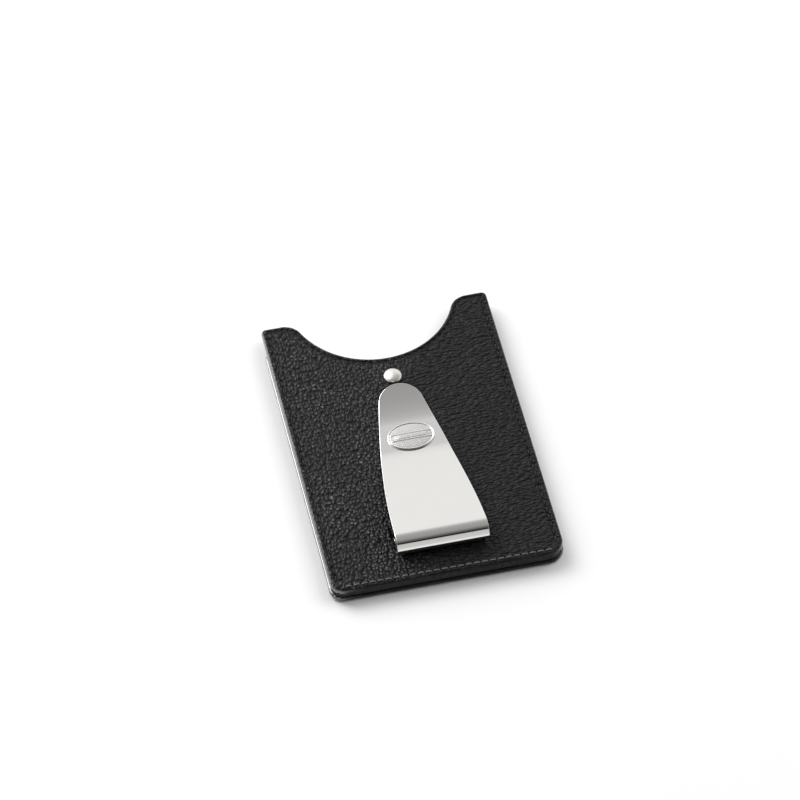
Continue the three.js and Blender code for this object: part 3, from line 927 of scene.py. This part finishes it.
def add_leg():
    flat_z = tongue_low.z + SHEET / 2
    deep_z = leg_low.z + SHEET / 2
    dive = LEG_DIVE_FROM + LEG_DIVE
    start_y = BEND_Y + LEG_START
    run = LEG_DIVE * 0.45
    down = bezier(((LEG_DIVE_FROM, flat_z), (LEG_DIVE_FROM + run, flat_z),
                   (dive - run, deep_z), (dive, deep_z)), 16)
    end_y = RIVET_Y + LEG_END_R
    deep = [(y, deep_z) for y in np.linspace(dive + 1, end_y + 0.5, 40)]
    line = np.vstack(([(start_y, flat_z)], down, deep))
    at = travelled(line)
    taper_from = LEG_DIVE_FROM + 2 * LEG_DIVE
    lean = math.asin((LEG_HALF - LEG_END_R) / (RIVET_Y - taper_from))
    meet_y = RIVET_Y + LEG_END_R * math.sin(lean)
    meet_x = LEG_END_R * math.cos(lean)
    rows = []
    for s, y in zip(at, line[:, 0]):
        if y < meet_y - 0.5:
            share = max(0.0, (y - taper_from) / (meet_y - taper_from))
            rows.append((s, LEG_HALF + (meet_x - LEG_HALF) * share))
    rows += round_end(line, RIVET_Y, LEG_END_R, lean, 20)
    add_sheet_strip("mounting_leg", line, rows, "case", "clip_mounting_leg")


# ---- the badge and the rivet --------------------------------------------------------------------
BADGE_RIM = 0.5
BADGE_SINK = 0.16
BADGE_ROUND = 0.16
BAND_HALF = 1.1
RIDGE_RISE = 0.12
RIDGE_HALF = 0.14
BAR_RISE = 0.08
BAR_HALF = 0.85
BAR_REACH = 5.8


def badge_pattern(points, centre):
    """A low raised bar along the badge, between two fine ridges."""
    x, y = points[:, 0] - centre.x, points[:, 1] - centre.y
    ridges = bell(y - BAND_HALF, RIDGE_HALF) + bell(y + BAND_HALF, RIDGE_HALF)
    bar = smoothstep((BAR_HALF - np.abs(y)) / 0.3) * smoothstep((BAR_REACH - np.abs(x)) / 2.6)
    return ridges * RIDGE_RISE + bar * BAR_RISE


def add_badge():
    centre = (badge_low + badge_high) / 2
    half_x = badge_high.x - centre.x
    half_y = badge_high.y - centre.y
    top, low = badge_high.z, badge_low.z
    turn = np.linspace(0, 2 * math.pi, 180, endpoint=False)

    def oval(inset):
        flat = np.column_stack((np.cos(turn) * (half_x - inset), np.sin(turn) * (half_y - inset)))
        return flat + (centre.x, centre.y)

    quarter = np.linspace(0, math.pi / 2, 6)
    profile = [(0.2, low), (0.2, low + 0.1), (0, low + 0.16)]
    profile += [(BADGE_ROUND * (1 - math.cos(a)), top - BADGE_ROUND * (1 - math.sin(a))) for a in quarter]
    rim_in = BADGE_RIM - 0.14
    profile += [(rim_in - 0.1, top), (rim_in, top - 0.03), (rim_in + 0.07, top - 0.5 * BADGE_SINK)]
    profile += [(rim_in + 0.14, top - BADGE_SINK), (rim_in + 0.25, top - BADGE_SINK - 0.01)]
    points = [flat_points(oval(inset), z) for inset, z in profile]
    count = len(turn)
    faces = grid_faces(len(points), count, round_columns=True)
    spread, triangles = fill_loop(oval(profile[-1][0]), 0.17)
    last = (len(points) - 1) * count
    start = len(points) * count
    dome = 1 - ((spread[:, 0] - centre.x) / half_x) ** 2 - ((spread[:, 1] - centre.y) / half_y) ** 2
    height = top - BADGE_SINK + 0.1 * dome + badge_pattern(spread, centre) * smoothstep(dome * 3)
    points.append(np.column_stack((spread, height)))
    faces += [[last + i if i < count else start + i - count for i in t] for t in triangles]
    faces.append(range(count - 1, -1, -1))
    badge = make_piece("oval_badge", np.vstack(points), faces, BADGE,
                       "tongue", "badge_steel", "clip_badge")
    rim_share = [1.0 if inset > rim_in + 0.05 else 0.0 for inset, _ in profile]
    field = np.concatenate([np.full(count, share) for share in rim_share] + [np.ones(len(spread))])
    set_attribute(badge, "field", field)


def add_rivet():
    """A low domed cap with a small rolled foot."""
    radius = cap_high.x
    foot = cap_low.z
    shoulder = foot + 0.42
    profile = [(0.001, foot + 0.02), (radius - 0.3, foot + 0.02), (radius - 0.1, foot + 0.06)]
    profile += [(radius, foot + 0.2), (radius, shoulder - 0.06)]
    for a in np.linspace(0.12, math.pi / 2 - 0.002, 22):
        profile.append((radius * math.cos(a), shoulder + (cap_high.z - shoulder) * math.sin(a) ** 0.94))
    turn = np.linspace(0, 2 * math.pi, 72, endpoint=False)
    points = [
        (r * math.cos(a), RIVET_Y + r * math.sin(a), z)
        for r, z in profile
        for a in turn
    ]
    faces = grid_faces(len(profile), len(turn), round_columns=True)
    cap = make_piece("rivet_dome", points, faces, NICKEL, "case", "rivet_nickel", "rivet_cap")
    weld(cap, 0.02)


# ---- what stays as the frame has it -------------------------------------------------------------
def dress_frame():
    for node, material in (
        ("front_stiffener", BOARD),
        ("back_stiffener", BOARD),
        ("rivet_post", NICKEL),
    ):
        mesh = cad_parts[node].data
        mesh.materials.clear()
        mesh.materials.append(material)


# ---- the stage ----------------------------------------------------------------------------------
CAMERA_TURN = 12.87
CAMERA_RISE = 50.9
CAMERA_AWAY = 1.555
CAMERA_LENS = 234
CAMERA_AIM = (0.0001, 0.0149, 0.0055)


def add_camera():
    data = bpy.data.cameras.new("camera")
    data.lens = CAMERA_LENS
    data.sensor_width = 36
    data.clip_end = 20
    camera = bpy.data.objects.new("camera", data)
    bpy.context.scene.collection.objects.link(camera)
    turn, rise = math.radians(CAMERA_TURN), math.radians(CAMERA_RISE)
    look = Vector((math.sin(turn) * math.cos(rise), math.cos(turn) * math.cos(rise), -math.sin(rise)))
    camera.location = Vector(CAMERA_AIM) - look * CAMERA_AWAY
    camera.rotation_mode = "QUATERNION"
    camera.rotation_quaternion = look.to_track_quat("-Z", "Y")
    bpy.context.scene.camera = camera


def add_floor():
    mesh = bpy.data.meshes.new("floor")
    half = 8
    corners = [(-half, -half, 0), (half, -half, 0), (half, half, 0), (-half, half, 0)]
    mesh.from_pydata(corners, [], [(0, 1, 2, 3)])
    floor = bpy.data.objects.new("floor", mesh)
    floor.location.z = -0.00002
    bpy.context.scene.collection.objects.link(floor)
    m = Nodes("floor")
    mesh.materials.append(m.set(Base_Color=(0.9, 0.9, 0.9, 1), Roughness=0.65))


def add_light(name, place, size, power, reflected=True):
    """A soft rectangular light, (width, height), facing the origin. One that isn't reflected only
    softens the shadows."""
    data = bpy.data.lights.new(name, "AREA")
    data.shape = "RECTANGLE"
    data.size, data.size_y = size
    data.energy = power
    light = bpy.data.objects.new(name, data)
    light.location = place
    light.rotation_mode = "QUATERNION"
    light.rotation_quaternion = (-Vector(place)).to_track_quat("-Z", "Y")
    light.visible_glossy = reflected
    bpy.context.scene.collection.objects.link(light)


# Brightness of the studio round an arc from behind the object, over it, to the front: degrees
# above the horizon behind, and strength.
STUDIO_ARC = [
    (0, 0.95), (30, 0.95), (45, 0.93), (49, 0.84), (52, 0.69), (56, 0.53), (60, 0.45), (66, 0.39),
    (78, 0.35), (91, 0.34), (111, 0.25), (131, 0.12), (151, 0.03), (158, 0.012), (167, 0.012),
    (170, 0.58), (180, 0.68),
]


def add_studio():
    world = bpy.data.worlds.new("studio")
    bpy.context.scene.world = world
    world.use_nodes = True
    tree = world.node_tree
    nodes, links = tree.nodes, tree.links
    place = nodes.new("ShaderNodeTexCoord").outputs["Generated"]
    split = nodes.new("ShaderNodeSeparateXYZ")
    links.new(place, split.inputs[0])
    angle = nodes.new("ShaderNodeMath")
    angle.operation = "ARCTAN2"
    links.new(split.outputs["Z"], angle.inputs[0])
    links.new(split.outputs["Y"], angle.inputs[1])
    share = nodes.new("ShaderNodeMath")
    share.operation = "DIVIDE"
    links.new(angle.outputs[0], share.inputs[0])
    share.inputs[1].default_value = math.pi
    ramp = nodes.new("ShaderNodeValToRGB")
    links.new(share.outputs[0], ramp.inputs[0])
    stops = ramp.color_ramp.elements
    while len(stops) < len(STUDIO_ARC):
        stops.new(0.5)
    for stop, (degrees, strength) in zip(stops, STUDIO_ARC):
        stop.position = degrees / 180
        stop.color = (strength, strength, strength, 1)
    aside = nodes.new("ShaderNodeMath")
    aside.operation = "ABSOLUTE"
    links.new(split.outputs["X"], aside.inputs[0])
    side = nodes.new("ShaderNodeMapRange")
    side.interpolation_type = "SMOOTHSTEP"
    links.new(aside.outputs[0], side.inputs["Value"])
    side.inputs["From Min"].default_value = 0.55
    side.inputs["From Max"].default_value = 0.9
    mix = nodes.new("ShaderNodeMix")
    mix.data_type = "RGBA"
    links.new(side.outputs["Result"], mix.inputs[0])
    links.new(ramp.outputs[0], mix.inputs[6])
    mix.inputs[7].default_value = (0.85, 0.85, 0.85, 1)
    links.new(mix.outputs[2], nodes["Background"].inputs["Color"])
    nodes["Background"].inputs["Strength"].default_value = 1.0


def add_stage():
    add_camera()
    add_floor()
    add_studio()
    add_light("key", (-0.62, 0.9, 1.05), (1.0, 1.0), 14)
    add_light("fill", (1.0, 0.1, 1.1), (1.2, 1.2), 9, reflected=False)
    add_light("edge_strip", (-0.44, 0.41, 0.25), (0.15, 0.5), 1.2)
    bpy.context.scene.view_settings.view_transform = "Standard"


add_stage()
add_case()
add_gussets()
add_lining("front_inner_cloth", "front_lining", FRONT_TOP,
           POCKET_ROOF + 0.02, POCKET_ROOF + 0.4)
add_lining("back_inner_cloth", "back_lining", BACK_TOP,
           POCKET_FLOOR - 0.4, POCKET_FLOOR - 0.02)
add_tongue()
add_leg()
add_badge()
add_rivet()
dress_frame()
